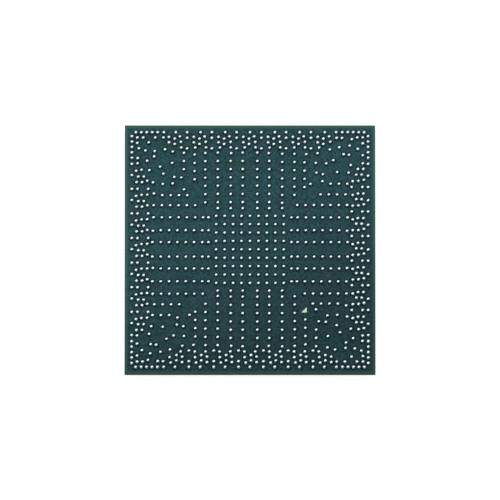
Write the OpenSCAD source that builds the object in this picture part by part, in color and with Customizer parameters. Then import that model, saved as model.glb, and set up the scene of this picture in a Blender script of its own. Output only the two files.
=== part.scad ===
// Flip-chip ball grid array package, lying on the back of its die with the solder balls up.
// Z is 0 at the back of the die, and the ball map is seen from the ball side, with +Y as north.
// The map is the pattern of one side, turned four times about a square core grid.

/* [Substrate] */
// Side of the square substrate
body_w = 23; // [23:0.1:24]
// Thickness of the glass-epoxy core
core_t = 0.40; // [0.2:0.05:0.8]
// Thickness of the build-up film on each face of the core
buildup_t = 0.14; // [0.09:0.01:0.2]
// Thickness of a copper plane, which lies on the core under the build-up film
plane_t = 0.02; // [0.01:0.005:0.04]
// Bare margin between the edge of a copper plane and the substrate's edge
plane_margin = 0.30; // [0.2:0.05:0.4]
// Thickness of the copper lands and marks on a build-up film
copper_t = 0.015; // [0.01:0.005:0.03]
// Thickness of the solder mask over the copper
mask_t = 0.020; // [0.015:0.005:0.04]

/* [Solder balls] */
// Diameter of a reflowed ball
ball_d = 0.40; // [0.36:0.01:0.42]
// Opening in the mask that a ball fills
ball_opening_d = 0.33; // [0.3:0.01:0.34]
// Copper land under a ball
land_d = 0.43; // [0.38:0.01:0.45]

/* [Ball map] */
// Balls along one side of the core grid
core_count = 9; // [5:2:9]
// Pitch of the core grid
core_pitch = 0.775; // [0.7:0.005:0.79]
// Distance from the centre to the roots of the spokes, which run out from the core grid
spoke_root = 3.81; // [3.7:0.01:3.85]
// Pitch along a spoke
spoke_pitch = 0.7625; // [0.74:0.0025:0.765]
// Length along the edge of the cell that repeats there
cell_pitch = 2.275; // [2.26:0.005:2.28]
// Cells along an edge
cell_count = 6; // [4:1:6]
// Distance from the edge to the rim row
rim_inset = 0.66; // [0.5:0.01:0.7]
// Pitch of the close balls at the ends of a rim row
rim_pitch = 0.50; // [0.48:0.005:0.51]
// Close balls at each end of a rim row
rim_end_count = 5; // [2:1:5]
// Distance from the corner, along the edge, to the first ball of a rim row
rim_start = 1.02; // [1:0.01:1.04]

/* [Core vias] */
// Diameter of a plated hole through the core
via_d = 0.20; // [0.1:0.05:0.3]
// Thickness of the plating
via_wall = 0.025; // [0.015:0.005:0.04]

/* [Die] */
// Width of the die, along X
die_w = 10.8; // [8:0.1:12]
// Depth of the die, along Y
die_l = 7.8; // [6:0.1:12]
// Thickness of the silicon
die_t = 0.40; // [0.3:0.05:0.78]
// Gap between the die's face and the solder mask
standoff = 0.06; // [0.04:0.01:0.1]
// Diameter of a solder bump at its waist
bump_d = 0.12; // [0.12:0.01:0.2]
// Copper pad under a bump
bump_pad_d = 0.20; // [0.2:0.01:0.25]
// Pitch of the bumps
bump_pitch = 0.60; // [0.4:0.05:1]
// Least distance from a bump's centre to the die's edge
bump_margin = 0.35; // [0.2:0.05:1]

/* [Underfill] */
// Reach of the underfill's fillet past the die's wall
fillet_w = 1.00; // [0.5:0.1:2]
// Height that the fillet climbs up the die's wall, above the die's face
fillet_climb = 0.26; // [0.1:0.02:0.3]
// Thickness of the fillet's toe
fillet_toe = 0.02; // [0.01:0.01:0.04]

/* [Marks] */
// Leg of the triangle that marks pin 1 on the ball side
mark_leg = 0.51; // [0.3:0.01:0.6]
// Distance of the triangle's square corner east of the centre
mark_east = 5.21; // [5.15:0.01:5.3]
// Distance of the triangle's square corner south of the centre
mark_south = 5.80; // [5.7:0.01:5.9]
// Leg of the triangle that marks pin 1 on the die side
corner_mark_leg = 0.90; // [0.4:0.1:1.5]
// Distance from the substrate's edges to the die side's triangle
corner_mark_inset = 0.70; // [0.5:0.1:1.5]
// Diameter of a die placement fiducial
fiducial_d = 0.50; // [0.3:0.1:1]
// Distance from the die's corner, both ways, to a fiducial's centre
fiducial_reach = 2.10; // [1.8:0.1:3]
// Width of the rim of a mark that the mask covers
mark_lap = 0.05; // [0.02:0.01:0.1]

/* [Hidden] */
$fn = 48;

half = body_w / 2;
coat_t = copper_t + mask_t; // mask where no copper lies under it

// Heights, from the back of the die upwards
z_mask = die_t + standoff; // outer face of the die side's mask
z_die_side = z_mask + coat_t; // outer face of the die side's build-up film
z_core = z_die_side + buildup_t;
z_core_top = z_core + core_t;
z_ball_side = z_core_top + buildup_t; // outer face of the ball side's build-up film

mask_green = "#2A474B";
laminate_green = "#3D5F57";
resin_green = "#8FA68A";
copper = "#B87A4B";
gold = "#DDD6BF";
solder = "#D9DEDE";
silicon = "#6E767C";
epoxy = "#2C3336";

// ---- Ball map ---------------------------------------------------------------

// Turns a point of the north side a number of quarter turns: north, west, south, east.
function turned(p, quarter) =
    quarter == 0 ? p : turned([-p[1], p[0]], quarter - 1);

// A place on the north side, from its distance east of the centre line and in from the edge.
function on_north(p) = [p[0], half - p[1]];

// A square grid of points about the centre.
function grid(columns, rows, pitch) = [
    for (i = [0 : columns - 1], j = [0 : rows - 1])
        [i - (columns - 1) / 2, j - (rows - 1) / 2] * pitch
];

core_map = grid(core_count, core_count, core_pitch);

// The cell that repeats along an edge: [east of the cell's first ball, behind the rim row].
edge_cell = [
    [0, 0], [0, 0.52], [0, 1.50],
    [-0.54, 1.41], [-0.56, 0.89], [-0.66, 0.39],
    [-1.04, 0], [-1.14, 0.59], [-1.14, 1.09],
    [-1.66, 0.43], [-1.66, 0.94], [-1.53, 1.42],
];
// Where the easternmost cell starts, from the centre line.
cell_east = 5.60;
// One more cell, cut short, lies between the easternmost cell and the corner.
short_cell = [
    [2.36, 0.52],
    [1.73, 1.60], [1.77, 0.89], [1.67, 0.39],
    [1.27, 0], [1.14, 0.59], [1.14, 1.09],
    [0.62, 0.43], [0.62, 0.94], [0.75, 1.42],
];
// The rim ball on each side of the close ones.
rim_outer = 7.91;
edge_map = [
    for (k = [0 : cell_count - 1], i = [0 : len(edge_cell) - 1])
        // The westernmost cell lacks its last ball, where the corner's pattern starts.
        if (k < cell_count - 1 || i < len(edge_cell) - 1)
            on_north([cell_east - k * cell_pitch, rim_inset] + edge_cell[i]),
    for (p = short_cell)
        on_north([cell_east, rim_inset] + p),
    for (side = [-1, 1])
        on_north([side * rim_outer, rim_inset]),
    for (side = [-1, 1], i = [1 : rim_end_count - 1])
        on_north([side * (half - rim_start - i * rim_pitch), rim_inset]),
];

// Each spoke: [east of the centre line, balls before its run, start of its run, balls in its run,
// shift of its last ball]. Starts are measured out from the spokes' root.
spokes = [
    [-6.07, [], 3.60, 3, [0, 0]],
    [-5.08, [], 2.67, 4, [0, 0]],
    [-4.10, [], 0.53, 7, [0, 0]],
    [-2.95, [0], 0.56, 7, [0, 0]],
    [-1.77, [0], 0.56, 7, [0.05, -0.05]],
    [-0.67, [0], 0.56, 7, [0, 0]],
    [0.67, [0], 0.56, 7, [0, 0]],
    [1.77, [0], 0.56, 7, [-0.05, -0.05]],
    [2.96, [0, 0.50], 1.22, 6, [0, 0]],
    [4.08, [], 1.22, 6, [0, 0]],
    [5.01, [], 1.95, 5, [0.16, 0]],
];
spoke_map = [
    for (s = spokes) each [
        for (lead = s[1])
            [s[0], spoke_root + lead],
        for (i = [0 : s[3] - 1])
            [s[0], spoke_root + s[2] + i * spoke_pitch] + (i == s[3] - 1 ? s[4] : [0, 0]),
    ]
];

// Balls of the northwest corner: [in from the west edge, in from the north edge].
corner_places = [
    [1.15, 1.15], [1.70, 1.15], [2.80, 1.15], [3.55, 1.15],
    [1.15, 1.65], [2.20, 1.60],
    [1.30, 2.15], [1.90, 2.35], [2.75, 2.40], [3.70, 2.25], [4.40, 2.45], [2.70, 2.90],
    [1.20, 3.05], [2.05, 3.30], [4.35, 3.50], [3.25, 3.85],
    [3.55, 4.50], [4.55, 4.80], [5.20, 4.85],
    [2.60, 5.30], [3.50, 5.45], [4.40, 5.40], [5.45, 5.95],
];
corner_map = [for (p = corner_places) [p[0] - half, half - p[1]]];

// The ends of the rim row are the outermost balls, on which a tilted package would first land.
anchor_map = [for (side = [-1, 1]) on_north([side * (half - rim_start), rim_inset])];

side_map = concat(edge_map, spoke_map, corner_map, anchor_map);
function all_round(places) = [for (quarter = [0 : 3], p = places) turned(p, quarter)];
ball_map = concat(core_map, all_round(side_map));

// Copies what follows to each place, after a number of quarter turns.
module at_each(places, quarter = 0) {
    for (p = places)
        translate(concat(turned(p, quarter), 0))
            children();
}

// ---- Solder and copper --------------------------------------------------------

// Both faces of the substrate are drawn with Z 0 on the build-up film and +Z outwards.
module on_ball_side() {
    translate([0, 0, z_ball_side])
        children();
}

module on_die_side() {
    translate([0, 0, z_die_side])
        mirror([0, 0, 1])
            children();
}

// Half section of solder: it fills an opening in the mask, and is a ball of diameter d above it,
// up to a height.
module solder_section(d, opening_d, height) {
    centre = sqrt(pow(d / 2, 2) - pow(opening_d / 2, 2));
    translate([0, coat_t])
        intersection() {
            translate([0, centre])
                circle(d = d);
            square([d, height]);
        }
    translate([0, copper_t])
        square([opening_d / 2, mask_t]);
}

module balls(places, quarter = 0) {
    color(solder)
        on_ball_side()
            at_each(places, quarter)
                rotate_extrude()
                    solder_section(ball_d, ball_opening_d, 2 * ball_d);
}

module pads(places, d, quarter = 0) {
    color(copper)
        at_each(places, quarter)
            cylinder(d = d, h = copper_t);
}

module lands(places, quarter = 0) {
    on_ball_side()
        pads(places, land_d, quarter);
}

// ---- Marks ----------------------------------------------------------------------

// A right-angled triangle with its square corner at the south-east, grown by a margin.
module triangle(leg, margin = 0) {
    tip = leg + margin * (1 + sqrt(2));
    polygon([[margin, -margin], [margin, tip], [-tip, -margin]]);
}

module ball_side_triangle(margin = 0) {
    translate([mark_east, -mark_south])
        triangle(mark_leg, margin);
}

module die_side_triangle(margin = 0) {
    translate([half - corner_mark_inset, corner_mark_inset - half])
        triangle(corner_mark_leg, margin);
}

// Two placement marks stand off opposite corners of the die.
module fiducial_discs(margin = 0) {
    for (side = [-1, 1])
        translate([side * (die_w / 2 + fiducial_reach), side * (die_l / 2 + fiducial_reach)])
            circle(d = fiducial_d + 2 * margin);
}

// A mark is a gold-plated patch of the copper, with its rim under the mask.
module gold_patch() {
    color(gold)
        linear_extrude(copper_t)
            children();
}

module ball_side_pin_one_mark() {
    on_ball_side()
        gold_patch()
            ball_side_triangle(mark_lap);
}

module die_side_pin_one_mark() {
    on_die_side()
        gold_patch()
            die_side_triangle(mark_lap);
}

module die_side_fiducials() {
    on_die_side()
        gold_patch()
            fiducial_discs(mark_lap);
}

// ---- Substrate --------------------------------------------------------------------

module plate(z, thickness, margin = 0) {
    side = body_w - 2 * margin;
    translate([-side / 2, -side / 2, z])
        cube([side, side, thickness]);
}

// Solder mask over pads at the places given. Its first child is the outline of the marks'
// patches, and its second that of the windows over them.
module solder_mask(places, pad_d, opening_d) {
    color(mask_green)
        difference() {
            plate(0, coat_t);
            at_each(places)
                rotate_extrude() {
                    square([pad_d / 2, copper_t]);
                    square([opening_d / 2, coat_t]);
                }
            linear_extrude(copper_t)
                children(0);
            linear_extrude(coat_t)
                children(1);
        }
}

module ball_side_mask() {
    on_ball_side()
        solder_mask(ball_map, land_d, ball_opening_d) {
            ball_side_triangle(mark_lap);
            ball_side_triangle();
        }
}

module die_side_mask() {
    on_die_side()
        solder_mask(bump_map, bump_pad_d, bump_opening_d) {
            union() {
                die_side_triangle(mark_lap);
                fiducial_discs(mark_lap);
            }
            union() {
                die_side_triangle();
                fiducial_discs();
            }
        }
}

// The film flows round the copper plane that lies on the core.
module buildup_film(z, plane_z) {
    color(laminate_green)
        difference() {
            plate(z, buildup_t);
            plate(plane_z, plane_t, plane_margin);
        }
}

module copper_plane(z) {
    color(copper)
        plate(z, plane_t, plane_margin);
}

// Plated holes stand between the balls of the core grid and join the two planes.
via_map = grid(core_count - 1, core_count - 1, core_pitch);

module core_laminate() {
    color(laminate_green)
        difference() {
            plate(z_core, core_t);
            translate([0, 0, z_core])
                at_each(via_map)
                    cylinder(d = via_d, h = core_t);
        }
}

module via_barrels() {
    color(copper)
        translate([0, 0, z_core])
            at_each(via_map)
                rotate_extrude()
                    translate([via_d / 2 - via_wall, 0])
                        square([via_wall, core_t]);
}

module via_plugs() {
    color(resin_green)
        translate([0, 0, z_core])
            at_each(via_map)
                cylinder(d = via_d - 2 * via_wall, h = core_t);
}

// ---- Die and underfill --------------------------------------------------------------

bump_map = grid(
    1 + floor((die_w - 2 * bump_margin) / bump_pitch),
    1 + floor((die_l - 2 * bump_margin) / bump_pitch),
    bump_pitch
);
// A bump is squeezed evenly between the die and the substrate, so its waist is half way up.
bump_opening_d = 2 * sqrt(pow(bump_d / 2, 2) - pow(standoff / 2, 2));

module silicon_die() {
    color(silicon)
        translate([-die_w / 2, -die_l / 2, 0])
            cube([die_w, die_l, die_t]);
}

module bumps() {
    on_die_side()
        at_each(bump_map)
            rotate_extrude()
                solder_section(bump_d, bump_opening_d, standoff);
}

module die_bumps() {
    color(solder)
        bumps();
}

module bump_pads() {
    on_die_side()
        pads(bump_map, bump_pad_d);
}

// Section of the fillet, out from the die's wall and up from the mask. Its hollow face is an arc
// that leaves the toe level.
module fillet_section() {
    rise = standoff + fillet_climb;
    drop = rise - fillet_toe;
    arc_r = (pow(fillet_w, 2) + pow(drop, 2)) / (2 * drop);
    difference() {
        square([fillet_w, rise]);
        translate([fillet_w, fillet_toe + arc_r])
            circle(r = arc_r, $fn = 180);
    }
}

// The fillet along one wall of the die, which stands off the centre by reach, and round the
// corner at one end of that wall.
module fillet(reach, wall) {
    translate([reach, wall / 2])
        rotate([90, 0, 0])
            linear_extrude(wall)
                fillet_section();
    translate([reach, wall / 2])
        rotate_extrude(angle = 90)
            fillet_section();
}

module underfill() {
    color(epoxy)
        difference() {
            translate([0, 0, z_mask])
                mirror([0, 0, 1]) {
                    translate([-die_w / 2, -die_l / 2])
                        cube([die_w, die_l, standoff]);
                    for (turn = [0, 180])
                        rotate([0, 0, turn]) {
                            fillet(die_w / 2, die_l);
                            rotate([0, 0, 90])
                                fillet(die_l / 2, die_w);
                        }
                }
            bumps();
        }
}

// ---- Nodes ----------------------------------------------------------------------------

silicon_die();
die_bumps();
bump_pads();
underfill();
die_side_mask();
die_side_pin_one_mark();
die_side_fiducials();
buildup_film(z_die_side, z_core - plane_t);  // die_side_buildup
copper_plane(z_core - plane_t);  // die_side_plane
core_laminate();
via_barrels();
via_plugs();
copper_plane(z_core_top);  // ball_side_plane
buildup_film(z_core_top, z_core_top);  // ball_side_buildup
ball_side_mask();
ball_side_pin_one_mark();
lands(core_map);  // core_lands
lands(side_map, 0);  // north_lands
lands(side_map, 1);  // west_lands
lands(side_map, 2);  // south_lands
lands(side_map, 3);  // east_lands
balls(core_map);  // core_balls
balls(all_round(anchor_map));  // corner_anchor_balls
balls(edge_map, 0);  // north_edge_balls
balls(edge_map, 1);  // west_edge_balls
balls(edge_map, 2);  // south_edge_balls
balls(edge_map, 3);  // east_edge_balls
balls(spoke_map, 0);  // north_spoke_balls
balls(spoke_map, 1);  // west_spoke_balls
balls(spoke_map, 2);  // south_spoke_balls
balls(spoke_map, 3);  // east_spoke_balls
balls(corner_map, 0);  // northwest_corner_balls
balls(corner_map, 1);  // southwest_corner_balls
balls(corner_map, 2);  // southeast_corner_balls
balls(corner_map, 3);  // northeast_corner_balls
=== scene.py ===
import math

import bpy
import numpy as np
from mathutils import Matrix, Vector

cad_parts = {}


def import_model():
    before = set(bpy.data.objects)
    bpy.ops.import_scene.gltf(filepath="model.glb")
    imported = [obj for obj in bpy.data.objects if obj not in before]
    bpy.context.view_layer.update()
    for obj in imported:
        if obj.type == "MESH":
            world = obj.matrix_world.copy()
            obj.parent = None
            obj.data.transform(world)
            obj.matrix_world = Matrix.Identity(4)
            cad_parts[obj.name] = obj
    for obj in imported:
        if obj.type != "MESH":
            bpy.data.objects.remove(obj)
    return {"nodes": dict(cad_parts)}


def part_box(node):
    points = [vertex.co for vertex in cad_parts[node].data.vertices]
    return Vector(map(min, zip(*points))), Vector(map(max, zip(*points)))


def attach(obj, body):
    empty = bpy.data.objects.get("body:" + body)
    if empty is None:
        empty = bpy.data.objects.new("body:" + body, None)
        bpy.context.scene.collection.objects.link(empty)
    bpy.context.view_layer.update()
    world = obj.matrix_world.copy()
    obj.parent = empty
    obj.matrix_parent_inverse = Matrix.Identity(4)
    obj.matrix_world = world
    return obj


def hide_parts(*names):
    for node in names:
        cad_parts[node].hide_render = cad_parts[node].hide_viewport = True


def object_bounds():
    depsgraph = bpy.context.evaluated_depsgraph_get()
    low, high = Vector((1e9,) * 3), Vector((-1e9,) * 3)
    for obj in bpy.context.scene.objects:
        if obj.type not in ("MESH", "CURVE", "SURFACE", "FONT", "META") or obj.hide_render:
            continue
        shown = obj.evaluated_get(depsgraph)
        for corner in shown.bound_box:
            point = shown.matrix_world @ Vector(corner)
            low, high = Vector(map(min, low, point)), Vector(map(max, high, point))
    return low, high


mm = 0.001  # the frame is in metres

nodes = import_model()["nodes"]
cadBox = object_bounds()  # the CAD model's box, before anything is dressed
low, high = cadBox
bodyWidth = high.x - low.x
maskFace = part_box("ball_side_mask")[1].z  # the face that the balls stand out of
print("frame loaded:", len(nodes), "nodes, side", round(bodyWidth / mm, 2), "mm")


# ---- small helpers

def toLinear(hexColour):  # sRGB hex to the linear colour that shaders take
    channels = [int(hexColour[i:i + 2], 16) / 255 for i in (1, 3, 5)]
    linear = [c / 12.92 if c <= 0.04045 else ((c + 0.055) / 1.055) ** 2.4 for c in channels]
    return (*linear, 1.0)


def feed(tree, node, **inputs):  # sets or links inputs, given by name or, as n0 and n1, by place
    for name, value in inputs.items():
        key = int(name[1:]) if name[0] == "n" and name[1:].isdigit() else name.replace("_", " ")
        if isinstance(value, bpy.types.NodeSocket):
            tree.links.new(value, node.inputs[key])
        else:
            node.inputs[key].default_value = value


def addNode(tree, kind, settings=None, **inputs):  # stops are a ramp's (position, hex colour or grey)
    node = tree.nodes.new(kind)
    for name, value in (settings or {}).items():
        if name != "stops":
            setattr(node, name, value)
            continue
        marks = node.color_ramp.elements
        while len(marks) < len(value):
            marks.new(0.5)
        for mark, (position, colour) in zip(marks, value):
            mark.position = position
            mark.color = toLinear(colour) if isinstance(colour, str) else (colour, colour, colour, 1)
    feed(tree, node, **inputs)
    return node


def startMaterial(name):
    material = bpy.data.materials.new(name)
    material.use_nodes = True
    tree = material.node_tree
    tree.nodes.clear()
    shader = addNode(tree, "ShaderNodeBsdfPrincipled")
    addNode(tree, "ShaderNodeOutputMaterial", Surface=shader.outputs["BSDF"])
    place = addNode(tree, "ShaderNodeTexCoord").outputs["Object"]
    return material, tree, shader, place


def startTree(name, sockets):  # a Geometry Nodes tree with its named inputs
    tree = bpy.data.node_groups.new(name, "GeometryNodeTree")
    face = tree.interface
    face.new_socket("Geometry", in_out="INPUT", socket_type="NodeSocketGeometry")
    for socket, kind in sockets.items():
        face.new_socket(socket, in_out="INPUT", socket_type="NodeSocket" + kind)
    face.new_socket("Geometry", in_out="OUTPUT", socket_type="NodeSocketGeometry")
    return tree, addNode(tree, "NodeGroupInput").outputs


def dress(nodeName, material):
    mesh = nodes[nodeName].data
    mesh.materials.clear()
    mesh.materials.append(material)


# ---- camera: nearly straight down on the ball side, from a little to the south, through a very long lens

camera = {
    "distance": 1.0,
    "fieldWidth": 45.87 * mm,  # what the picture spans at the chip
    "tilt": 7.0,  # degrees off the vertical
    "south": 0.03 * mm,  # how far off the chip's centre it looks
    "sensor": 36.0,
}


def makeCamera():
    data = bpy.data.cameras.new("camera")
    data.sensor_width = camera["sensor"]
    data.lens = camera["sensor"] * camera["distance"] / camera["fieldWidth"]
    data.clip_start, data.clip_end = 0.01, 10
    lens = bpy.data.objects.new("camera", data)
    tilt = math.radians(camera["tilt"])
    aim = Vector((0, -camera["south"], maskFace))
    lens.location = aim + Vector((0, -math.sin(tilt), math.cos(tilt))) * camera["distance"]
    lens.rotation_euler = (tilt, 0, 0)
    bpy.context.scene.collection.objects.link(lens)
    bpy.context.scene.camera = lens


makeCamera()


# ---- solder balls

solderBall = {
    "diameter": 0.40 * mm,
    "opening": 0.33 * mm,  # where it wets the mask's opening
    "neck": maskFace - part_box("core_lands")[1].z,
    "sides": 12,
    "rings": 5,
    "unevenness": 0.0015 * mm,
    "unevenSize": 0.16 * mm,
    "shrink": 0.04,  # the smallest ball is this share smaller than the largest
}

solderSkin = {
    "grain": 0.12 * mm,
    "colours": ("#BCD3D6", "#E4FAFD"),
    "roughness": (0.13, 0.20),
    "pits": 0.07 * mm,
    "pitDepth": 0.0006 * mm,
    "footShadeLevel": 0.25,  # painted shade: what is left of the colour at the foot
    "footShadeRise": (0.10 * mm, 0.24 * mm),  # the painted shade lifts from dark to full colour over this height above the mask
}


def ballTree(material):
    tree, given = startTree("seatedBall", {
        "Diameter": "Float", "Opening": "Float", "Neck": "Float", "Sides": "Int", "Rings": "Int",
        "Unevenness": "Float", "Uneven Size": "Float", "Shrink": "Float", "Seed": "Int",
    })

    # a grid of sides by rings is wrapped round the ball, row by row from its top
    position = addNode(tree, "GeometryNodeInputPosition").outputs[0]
    spot = addNode(tree, "ShaderNodeSeparateXYZ", Vector=position).outputs
    known = {"across": spot["X"], "along": spot["Y"]}
    for name in ("Diameter", "Opening", "Neck", "Sides", "Rings", "Uneven Size", "Shrink", "Seed"):
        known[name] = given[name]
    for name, operation, *terms in (
        ("columns", "ADD", "Sides", 1),
        ("rows", "ADD", "Rings", 3),  # the rings, the neck's foot and the foot's centre
        ("lastRow", "SUBTRACT", "rows", 1),
        ("turnShare", "ADD", "across", 0.5),
        ("turn", "MULTIPLY", "turnShare", 2 * math.pi),
        ("rowShare", "ADD", "along", 0.5),
        ("rowPlace", "MULTIPLY", "rowShare", "lastRow"),
        ("row", "ROUND", "rowPlace"),
        ("ratio", "DIVIDE", "Opening", "Diameter"),
        ("seatAngle", "ARCSINE", "ratio"),
        ("widest", "SUBTRACT", math.pi, "seatAngle"),  # polar angle where it meets the mask
        ("ringShare", "DIVIDE", "row", "Rings"),
        ("ringPlace", "MINIMUM", "ringShare", 1.0),
        ("polar", "MULTIPLY", "ringPlace", "widest"),
        ("radius", "MULTIPLY", "Diameter", 0.5),
        ("pastRings", "ADD", "Rings", 0.5),
        ("isNeck", "GREATER_THAN", "row", "pastRings"),
        ("pastNeck", "ADD", "Rings", 1.5),
        ("isCentre", "GREATER_THAN", "row", "pastNeck"),
        ("isRim", "SUBTRACT", 1.0, "isCentre"),
        ("polarSine", "SINE", "polar"),
        ("girth", "MULTIPLY", "radius", "polarSine"),
        ("reach", "MULTIPLY", "girth", "isRim"),
        ("drop", "MULTIPLY", "isNeck", "Neck"),
        ("polarCosine", "COSINE", "polar"),
        ("belowTop", "SUBTRACT", "polarCosine", 1.0),
        ("depth", "MULTIPLY", "radius", "belowTop"),
        ("height", "SUBTRACT", "depth", "drop"),
        ("east", "COSINE", "turn"),
        ("north", "SINE", "turn"),
        ("x", "MULTIPLY", "reach", "east"),
        ("y", "MULTIPLY", "reach", "north"),
        ("smallest", "SUBTRACT", 1.0, "Shrink"),
        ("sizeSeed", "ADD", "Seed", 1),
        ("dentScale", "DIVIDE", 1.0, "Uneven Size"),
    ):
        values = {f"n{i}": known.get(term, term) for i, term in enumerate(terms)}
        known[name] = addNode(tree, "ShaderNodeMath", {"operation": operation}, **values).outputs[0]
    grid = addNode(
        tree, "GeometryNodeMeshGrid", Size_X=1.0, Size_Y=1.0,
        Vertices_X=known["columns"], Vertices_Y=known["rows"],
    ).outputs["Mesh"]
    wrapped = addNode(tree, "ShaderNodeCombineXYZ", X=known["x"], Y=known["y"], Z=known["height"]).outputs[0]
    shell = addNode(tree, "GeometryNodeSetPosition", Geometry=grid, Position=wrapped).outputs[0]
    ball = addNode(tree, "GeometryNodeMergeByDistance", Geometry=shell, Distance=0.0001 * mm).outputs[0]
    ball = addNode(tree, "GeometryNodeFlipFaces", Mesh=ball).outputs[0]

    # one ball hangs below each point, which is at a ball's top, turned at random and a little smaller
    spin = addNode(
        tree, "FunctionNodeRandomValue", {"data_type": "FLOAT"}, n2=0.0, n3=2 * math.pi, Seed=given["Seed"],
    ).outputs[1]
    size = addNode(
        tree, "FunctionNodeRandomValue", {"data_type": "FLOAT"},
        n2=known["smallest"], n3=1.0, Seed=known["sizeSeed"],
    ).outputs[1]
    placed = addNode(
        tree, "GeometryNodeInstanceOnPoints", Points=given["Geometry"], Instance=ball,
        Rotation=addNode(tree, "ShaderNodeCombineXYZ", Z=spin).outputs[0],
        Scale=addNode(tree, "ShaderNodeCombineXYZ", X=size, Y=size, Z=1.0).outputs[0],
    ).outputs[0]
    real = addNode(tree, "GeometryNodeRealizeInstances", Geometry=placed).outputs[0]

    # reflowed solder is never quite round: dents follow a noise, and only inwards
    dent = addNode(
        tree, "ShaderNodeTexNoise", {"noise_dimensions": "3D"},
        Vector=addNode(tree, "GeometryNodeInputPosition").outputs[0], Scale=known["dentScale"], Detail=1.0,
    ).outputs[0]
    inward = addNode(tree, "ShaderNodeMath", {"operation": "SUBTRACT"}, n0=dent, n1=1.0).outputs[0]
    push = addNode(
        tree, "ShaderNodeVectorMath", {"operation": "SCALE"},
        Vector=addNode(tree, "GeometryNodeInputNormal").outputs[0],
        Scale=addNode(
            tree, "ShaderNodeMath", {"operation": "MULTIPLY"}, n0=inward, n1=given["Unevenness"],
        ).outputs[0],
    ).outputs[0]
    dented = addNode(tree, "GeometryNodeSetPosition", Geometry=real, Offset=push).outputs[0]
    smooth = addNode(tree, "GeometryNodeSetShadeSmooth", Geometry=dented).outputs[0]
    finished = addNode(tree, "GeometryNodeSetMaterial", Geometry=smooth, Material=material).outputs[0]
    addNode(tree, "NodeGroupOutput", Geometry=finished)
    return tree


def ballTops(nodeName):  # the highest point of each ball in a CAD node
    points = np.array([v.co for v in nodes[nodeName].data.vertices])
    tops = points[points[:, 2] > points[:, 2].max() - 0.0005 * mm]
    keys = np.unique(np.round(tops / (0.01 * mm)).astype(int), axis=0)
    return [Vector(key * 0.01 * mm) for key in keys]


def setInput(modifier, name, value):
    socket = next(
        s for s in modifier.node_group.interface.items_tree
        if s.item_type == "SOCKET" and s.in_out == "INPUT" and s.name == name
    )
    modifier[socket.identifier] = value


def growOn(spots, name, tree, values):  # the tree's mesh, grown on loose points
    points = bpy.data.meshes.new(name + "_points")
    points.from_pydata(spots, [], [])
    holder = bpy.data.objects.new(name + "_points", points)
    bpy.context.scene.collection.objects.link(holder)
    modifier = holder.modifiers.new(name, "NODES")
    modifier.node_group = tree
    for socket, value in values.items():
        setInput(modifier, socket, value)
    view = bpy.context.evaluated_depsgraph_get()
    mesh = bpy.data.meshes.new_from_object(holder.evaluated_get(view))
    holder.modifiers.clear()
    bpy.data.objects.remove(holder)
    return mesh


def placeBalls(nodeName, tree, seed):
    mesh = growOn(ballTops(nodeName), nodeName, tree, {
        "Diameter": solderBall["diameter"], "Opening": solderBall["opening"], "Neck": solderBall["neck"],
        "Sides": solderBall["sides"], "Rings": solderBall["rings"], "Shrink": solderBall["shrink"],
        "Unevenness": solderBall["unevenness"], "Uneven Size": solderBall["unevenSize"], "Seed": seed,
    })
    piece = bpy.data.objects.new("solder_" + nodeName, mesh)
    bpy.context.scene.collection.objects.link(piece)
    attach(piece, "root")
    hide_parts(nodeName)
    return len(mesh.polygons)


# Tin-silver-copper solder, reflowed in nitrogen: a bright, faintly frosted skin, with painted shade darkening its
# colour round its foot.
def makeSolder():
    material, tree, shader, place = startMaterial("reflowedSolder")
    grain = addNode(
        tree, "ShaderNodeTexNoise", Vector=place, Scale=1 / solderSkin["grain"], Detail=3.0,
    ).outputs["Fac"]
    grey, bright = solderSkin["colours"]
    smooth, frosted = solderSkin["roughness"]
    skin = addNode(tree, "ShaderNodeValToRGB", {"stops": ((0.3, grey), (0.7, bright))}, Fac=grain)
    roughness = addNode(tree, "ShaderNodeValToRGB", {"stops": ((0.3, smooth), (0.7, frosted))}, Fac=grain)
    # painted shade: the colour is darkened near the mask, as shade round each ball's foot
    clear = addNode(
        tree, "ShaderNodeMapRange", {"interpolation_type": "SMOOTHSTEP"},
        Value=addNode(tree, "ShaderNodeSeparateXYZ", Vector=place).outputs["Z"],
        From_Min=maskFace + solderSkin["footShadeRise"][0], From_Max=maskFace + solderSkin["footShadeRise"][1],
        To_Min=solderSkin["footShadeLevel"], To_Max=1.0,
    ).outputs[0]
    colour = addNode(
        tree, "ShaderNodeMix", {"data_type": "RGBA", "blend_type": "MULTIPLY"},
        n0=1.0, n6=skin.outputs["Color"], n7=clear,
    ).outputs[2]
    pits = addNode(tree, "ShaderNodeTexNoise", Vector=place, Scale=1 / solderSkin["pits"]).outputs["Fac"]
    bump = addNode(tree, "ShaderNodeBump", Height=pits, Distance=solderSkin["pitDepth"])
    feed(
        tree, shader, Metallic=1.0, Base_Color=colour, Roughness=roughness.outputs["Color"],
        Normal=bump.outputs["Normal"],
    )
    return material


solder = makeSolder()
seatedBall = ballTree(solder)
ballNodes = sorted(name for name in nodes if name.endswith("_balls"))
faces = sum(placeBalls(name, seatedBall, seed) for seed, name in enumerate(ballNodes))
print("balls placed:", faces, "faces")


# ---- substrate

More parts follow.
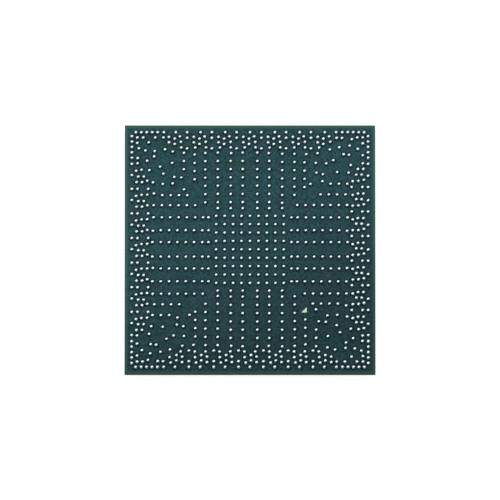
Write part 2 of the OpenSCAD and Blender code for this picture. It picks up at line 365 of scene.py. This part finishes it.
maskLook = {
    "patches": 1.1 * mm,  # etched copper shows through in patches of this size
    "patchColours": ("#1C3E40", "#1F3F44", "#243E46"),
    "grain": 0.14 * mm,
    "edgeBand": 0.26 * mm,  # no copper lies under the mask here, so it is lighter
    "edgeBlur": 0.06 * mm,
    "edgeColour": "#2D524C",
    # painted shade: a dark line along the north and south edges
    "paintedShadeEdge": 0.07 * mm,
    "paintedShadeEdgeColour": "#0E2420",
    "paintedShadeEdgeShare": 0.4,
    "paintedShadeWay": (0.35, -0.94, 0),  # painted shade: the colour darkens towards the south, and a little towards the east
    "paintedShadeStart": -4.0 * mm,
    "paintedShadeEnd": 9.0 * mm,
    "paintedShadeTones": (1.14, 0.70),
    "relief": (0.12 * mm, 0.003 * mm),  # width and depth of its unevenness
    "dieSideSpeckle": 0.35,
    # painted shade: how dark the ring round each ball's foot is
    "landShade": 0.35,
}

landRing = {  # the mask laps over each land's rim as a low ring, coloured darker with painted shade round each ball's foot
    "inner": solderBall["opening"] / 2,
    "outer": 0.245 * mm,
    "proud": 0.003 * mm,
    "sides": 12,
}


# Liquid photo-imageable solder mask: a blue-green film, satin, over etched copper that shows as faint mottling.
# Painted shade darkens it towards the south-east and along its north and south edges.
def makeMask(name, shade=1.0, speckle=1.0):  # speckle is how strongly the fine grain shows
    material, tree, shader, place = startMaterial(name)
    patches = addNode(
        tree, "ShaderNodeTexNoise", Vector=place, Scale=1 / maskLook["patches"], Detail=2.0, Roughness=0.6,
    ).outputs["Fac"]
    tints = tuple(zip((0.38, 0.52, 0.66), maskLook["patchColours"]))
    tint = addNode(tree, "ShaderNodeValToRGB", {"stops": tints}, Fac=patches).outputs["Color"]
    fine = addNode(
        tree, "ShaderNodeTexNoise", Vector=place, Scale=1 / maskLook["grain"], Detail=3.0, Roughness=0.85,
    ).outputs["Fac"]
    greys = ((0.3, 1 - 0.9 * speckle), (0.7, 1 + speckle))
    grain = addNode(tree, "ShaderNodeValToRGB", {"stops": greys}, Fac=fine).outputs["Color"]

    # how far each point is in from the nearest side, and from a north or south one
    split = addNode(tree, "ShaderNodeSeparateXYZ", Vector=place).outputs
    across = addNode(tree, "ShaderNodeMath", {"operation": "ABSOLUTE"}, n0=split["X"]).outputs[0]
    along = addNode(tree, "ShaderNodeMath", {"operation": "ABSOLUTE"}, n0=split["Y"]).outputs[0]
    farther = addNode(tree, "ShaderNodeMath", {"operation": "MAXIMUM"}, n0=across, n1=along).outputs[0]
    nearest = addNode(
        tree, "ShaderNodeMath", {"operation": "SUBTRACT"}, n0=bodyWidth / 2, n1=farther,
    ).outputs[0]
    northSouth = addNode(
        tree, "ShaderNodeMath", {"operation": "SUBTRACT"}, n0=bodyWidth / 2, n1=along,
    ).outputs[0]
    band = addNode(
        tree, "ShaderNodeMapRange", {"interpolation_type": "SMOOTHSTEP"}, Value=nearest,
        From_Min=maskLook["edgeBand"] - maskLook["edgeBlur"],
        From_Max=maskLook["edgeBand"] + maskLook["edgeBlur"], To_Min=1.0, To_Max=0.0,
    ).outputs[0]
    # painted shade: a dark line is painted along the north and south edges
    inPaintedShadeEdge = addNode(
        tree, "ShaderNodeMath", {"operation": "LESS_THAN"}, n0=northSouth, n1=maskLook["paintedShadeEdge"],
    ).outputs[0]
    paintedEdgeShade = addNode(
        tree, "ShaderNodeMath", {"operation": "MULTIPLY"}, n0=inPaintedShadeEdge, n1=maskLook["paintedShadeEdgeShare"],
    ).outputs[0]
    # painted shade: the colour is lighter in the north-west and darker towards the south-east, as light falling
    # off across the chip
    southEast = addNode(
        tree, "ShaderNodeVectorMath", {"operation": "DOT_PRODUCT"}, n0=place, n1=maskLook["paintedShadeWay"],
    ).outputs[1]
    paintedShadeTone = addNode(
        tree, "ShaderNodeMapRange", Value=southEast,
        From_Min=maskLook["paintedShadeStart"], From_Max=maskLook["paintedShadeEnd"],
        To_Min=maskLook["paintedShadeTones"][0] * shade, To_Max=maskLook["paintedShadeTones"][1] * shade,
    ).outputs[0]

    body = tint
    for blend, share, colour in (
        ("MULTIPLY", 1.0, grain),
        ("MIX", band, toLinear(maskLook["edgeColour"])),
        ("MIX", paintedEdgeShade, toLinear(maskLook["paintedShadeEdgeColour"])),
        ("MULTIPLY", 1.0, paintedShadeTone),
    ):
        body = addNode(
            tree, "ShaderNodeMix", {"data_type": "RGBA", "blend_type": blend}, n0=share, n6=body, n7=colour,
        ).outputs[2]
    width, depth = maskLook["relief"]
    relief = addNode(tree, "ShaderNodeTexNoise", Vector=place, Scale=1 / width, Detail=3.0).outputs["Fac"]
    bump = addNode(tree, "ShaderNodeBump", Height=relief, Distance=depth)
    feed(
        tree, shader, Base_Color=body, Roughness=0.45, Specular_IOR_Level=0.08,
        Normal=bump.outputs["Normal"],
    )
    return material


dress("ball_side_mask", makeMask("solderMaskBallSide"))
dress("die_side_mask", makeMask("solderMaskDieSide", speckle=maskLook["dieSideSpeckle"]))


def ringTree(material):
    tree, given = startTree("landRing", {"Inner": "Float", "Outer": "Float", "Proud": "Float", "Sides": "Int"})
    both = addNode(tree, "ShaderNodeMath", {"operation": "ADD"}, n0=given["Inner"], n1=given["Outer"]).outputs[0]
    middle = addNode(tree, "ShaderNodeMath", {"operation": "MULTIPLY"}, n0=both, n1=0.5).outputs[0]
    width = addNode(
        tree, "ShaderNodeMath", {"operation": "SUBTRACT"}, n0=given["Outer"], n1=given["Inner"],
    ).outputs[0]
    height = addNode(tree, "ShaderNodeMath", {"operation": "MULTIPLY"}, n0=given["Proud"], n1=2).outputs[0]
    path = addNode(
        tree, "GeometryNodeCurvePrimitiveCircle", Resolution=given["Sides"], Radius=middle,
    ).outputs[0]
    section = addNode(tree, "GeometryNodeCurvePrimitiveQuadrilateral", Width=width, Height=height).outputs[0]
    ring = addNode(tree, "GeometryNodeCurveToMesh", Curve=path, Profile_Curve=section).outputs[0]
    placed = addNode(
        tree, "GeometryNodeInstanceOnPoints", Points=given["Geometry"], Instance=ring,
    ).outputs[0]
    real = addNode(tree, "GeometryNodeRealizeInstances", Geometry=placed).outputs[0]
    finished = addNode(tree, "GeometryNodeSetMaterial", Geometry=real, Material=material).outputs[0]
    addNode(tree, "NodeGroupOutput", Geometry=finished)
    return tree


def placeRings():
    spots = [(top.x, top.y, maskFace) for name in ballNodes for top in ballTops(name)]
    tree = ringTree(makeMask("solderMaskOverLandsPaintedShade", shade=maskLook["landShade"]))
    mesh = growOn(spots, "landRing", tree, {
        "Inner": landRing["inner"], "Outer": landRing["outer"], "Proud": landRing["proud"],
        "Sides": landRing["sides"],
    })
    piece = bpy.data.objects.new("maskOverLands", mesh)
    bpy.context.scene.collection.objects.link(piece)
    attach(piece, "root")
    print("rings over the lands:", len(spots), "with", len(mesh.polygons), "faces")


placeRings()

laminate = {
    "stretch": 14,  # the strands run along the cut
    "relief": 0.006 * mm,
    "coreColours": ("#3F5A48", "#8D9C78"),
    "coreStrands": 1.2 * mm,
    "filmColours": ("#2F4B40", "#4E6A58"),
    "filmStrands": 0.5 * mm,
}


# Glass-epoxy core and build-up film, sawn: green-brown resin with pale glass strands along the cut.
def makeLaminate(name, colours, strandSize):
    material, tree, shader, place = startMaterial(name)
    stretched = addNode(tree, "ShaderNodeMapping", Vector=place, Scale=(1, 1, laminate["stretch"])).outputs[0]
    strands = addNode(
        tree, "ShaderNodeTexNoise", Vector=stretched, Scale=1 / strandSize, Detail=3.0, Roughness=0.6,
    ).outputs["Fac"]
    resin, strand = colours
    colour = addNode(tree, "ShaderNodeValToRGB", {"stops": ((0.4, resin), (0.62, strand))}, Fac=strands)
    bump = addNode(tree, "ShaderNodeBump", Height=strands, Distance=laminate["relief"])
    feed(tree, shader, Base_Color=colour.outputs["Color"], Roughness=0.7, Normal=bump.outputs["Normal"])
    return material


film = makeLaminate("sawnBuildUpFilm", laminate["filmColours"], laminate["filmStrands"])
dress("core_laminate", makeLaminate("sawnCoreLaminate", laminate["coreColours"], laminate["coreStrands"]))
dress("die_side_buildup", film)
dress("ball_side_buildup", film)

plating = {
    "copperGrain": 0.05 * mm,
    "copperColours": ("#A8653C", "#D08C5E"),
    "copperRoughness": 0.38,
    "goldGrain": 0.06 * mm,
    "goldColours": ("#A5A997", "#C4CBB8"),
    "goldRoughness": 0.45,
    "relief": 0.002 * mm,
}


# Electroplated copper is warm, satin and finely grained. Immersion gold over nickel is pale and matt.
def makePlating(name, grainSize, colours, roughness):
    material, tree, shader, place = startMaterial(name)
    grain = addNode(tree, "ShaderNodeTexNoise", Vector=place, Scale=1 / grainSize, Detail=3.0).outputs["Fac"]
    dark, bright = colours
    colour = addNode(tree, "ShaderNodeValToRGB", {"stops": ((0.3, dark), (0.7, bright))}, Fac=grain)
    bump = addNode(tree, "ShaderNodeBump", Height=grain, Distance=plating["relief"])
    feed(
        tree, shader, Metallic=1.0, Base_Color=colour.outputs["Color"], Roughness=roughness,
        Normal=bump.outputs["Normal"],
    )
    return material


copper = makePlating(
    "platedCopper", plating["copperGrain"], plating["copperColours"], plating["copperRoughness"],
)
for name in nodes:
    if name.endswith(("_lands", "_plane")) or name in ("bump_pads", "via_barrels"):
        dress(name, copper)

gold = makePlating("immersionGold", plating["goldGrain"], plating["goldColours"], plating["goldRoughness"])
for name in ("ball_side_pin_one_mark", "die_side_pin_one_mark", "die_side_fiducials"):
    dress(name, gold)

plug = {
    "grain": 0.04 * mm,
    "colours": ("#7C9378", "#9BB094"),
}


# Plugging resin in the plated holes: pale green and matt.
def makePlug():
    material, tree, shader, place = startMaterial("pluggingResin")
    grain = addNode(tree, "ShaderNodeTexNoise", Vector=place, Scale=1 / plug["grain"]).outputs["Fac"]
    dark, pale = plug["colours"]
    colour = addNode(tree, "ShaderNodeValToRGB", {"stops": ((0.3, dark), (0.7, pale))}, Fac=grain)
    feed(tree, shader, Base_Color=colour.outputs["Color"], Roughness=0.6)
    return material


dress("via_plugs", makePlug())


# ---- die and underfill

dieBack = {
    "grindingWay": 0.6,  # the turn of the grinding lines, in radians
    "grindingStretch": 40,
    "grindingSize": 2.0 * mm,
    "grindingDepth": 0.0003 * mm,
    "colours": ("#646C74", "#78808A"),
    "roughness": (0.12, 0.2),
}


# Back-ground, polished silicon: a cool grey mirror with faint grinding lines.
def makeSilicon():
    material, tree, shader, place = startMaterial("polishedSilicon")
    lines = addNode(
        tree, "ShaderNodeMapping", Vector=place,
        Rotation=(0, 0, dieBack["grindingWay"]), Scale=(1, dieBack["grindingStretch"], 1),
    ).outputs[0]
    grind = addNode(
        tree, "ShaderNodeTexNoise", Vector=lines, Scale=1 / dieBack["grindingSize"], Detail=4.0, Roughness=0.6,
    ).outputs["Fac"]
    dark, pale = dieBack["colours"]
    smooth, rough = dieBack["roughness"]
    colour = addNode(tree, "ShaderNodeValToRGB", {"stops": ((0.3, dark), (0.7, pale))}, Fac=grind)
    roughness = addNode(tree, "ShaderNodeValToRGB", {"stops": ((0.3, smooth), (0.7, rough))}, Fac=grind)
    bump = addNode(tree, "ShaderNodeBump", Height=grind, Distance=dieBack["grindingDepth"])
    feed(
        tree, shader, Metallic=1.0, Base_Color=colour.outputs["Color"], Roughness=roughness.outputs["Color"],
        Normal=bump.outputs["Normal"],
    )
    return material


dress("silicon_die", makeSilicon())
dress("die_bumps", solder)

fillet = {
    "flow": 0.8 * mm,
    "flowDepth": 0.01 * mm,
    "colours": ("#12161A", "#20272B"),
}


# Capillary underfill, silica-filled epoxy: dark and glossy, with a meniscus that wets the die's wall.
def makeUnderfill():
    material, tree, shader, place = startMaterial("underfillEpoxy")
    flow = addNode(
        tree, "ShaderNodeTexNoise", Vector=place, Scale=1 / fillet["flow"], Detail=3.0, Roughness=0.55,
    ).outputs["Fac"]
    dark, pale = fillet["colours"]
    colour = addNode(tree, "ShaderNodeValToRGB", {"stops": ((0.3, dark), (0.7, pale))}, Fac=flow)
    bump = addNode(tree, "ShaderNodeBump", Height=flow, Distance=fillet["flowDepth"])
    feed(
        tree, shader, Base_Color=colour.outputs["Color"], Roughness=0.22, Coat_Weight=0.3,
        Coat_Roughness=0.1, Normal=bump.outputs["Normal"],
    )
    return material


dress("underfill", makeUnderfill())
print("materials done")


# ---- floor and light

studio = {
    "floorSide": 0.6,
    "floor": "#BDBDBD",
    "floorGlow": 0.74,  # only the camera sees this glow, which turns the floor to clear white
    "roomNorth": 0.08,
    "roomSouth": 0.01,
    "roomSpread": 0.6,
    "panelWidth": 1.6,  # a soft box overhead, wider from east to west
    "panelDepth": 0.70,
    "panelPlace": (-0.02, 0.05, 0.30),
    "panelPower": 4.05,
}


def makeFloor():
    side = studio["floorSide"] / 2
    mesh = bpy.data.meshes.new("floor")
    mesh.from_pydata([(-side, -side, 0), (side, -side, 0), (side, side, 0), (-side, side, 0)], [], [(0, 1, 2, 3)])
    floor = bpy.data.objects.new("floor", mesh)
    floor.location.z = low.z - 0.002 * mm
    bpy.context.scene.collection.objects.link(floor)
    material, tree, shader, place = startMaterial("paperFloor")
    seen = addNode(tree, "ShaderNodeLightPath").outputs["Is Camera Ray"]
    glow = addNode(tree, "ShaderNodeMath", {"operation": "MULTIPLY"}, n0=seen, n1=studio["floorGlow"]).outputs[0]
    feed(
        tree, shader, Base_Color=toLinear(studio["floor"]), Roughness=0.9,
        Emission_Color=(1, 1, 1, 1), Emission_Strength=glow,
    )
    mesh.materials.append(material)


def makeRoom():
    # one soft box overhead in a dim room, which looks white only to the camera
    world = bpy.data.worlds.new("room")
    world.use_nodes = True
    tree = world.node_tree
    tree.nodes.clear()
    way = addNode(tree, "ShaderNodeTexCoord").outputs["Generated"]
    dim = addNode(
        tree, "ShaderNodeMapRange", Value=addNode(tree, "ShaderNodeSeparateXYZ", Vector=way).outputs["Y"],
        From_Min=-studio["roomSpread"], From_Max=studio["roomSpread"],
        To_Min=studio["roomSouth"], To_Max=studio["roomNorth"],
    ).outputs[0]
    seen = addNode(tree, "ShaderNodeLightPath").outputs["Is Camera Ray"]
    level = addNode(tree, "ShaderNodeMath", {"operation": "MAXIMUM"}, n0=dim, n1=seen).outputs[0]
    sky = addNode(tree, "ShaderNodeBackground", Color=(1, 1, 1, 1), Strength=level).outputs[0]
    addNode(tree, "ShaderNodeOutputWorld", Surface=sky)
    bpy.context.scene.world = world

    data = bpy.data.lights.new("softBox", "AREA")
    data.shape = "ELLIPSE"
    data.size, data.size_y, data.energy = studio["panelWidth"], studio["panelDepth"], studio["panelPower"]
    lamp = bpy.data.objects.new("softBox", data)
    lamp.location = studio["panelPlace"]
    lamp.rotation_euler = (-Vector(studio["panelPlace"])).to_track_quat("-Z", "Y").to_euler()
    lamp.visible_camera = False
    bpy.context.scene.collection.objects.link(lamp)


makeFloor()
makeRoom()
bpy.context.scene.view_settings.view_transform = "Standard"
print("studio done")
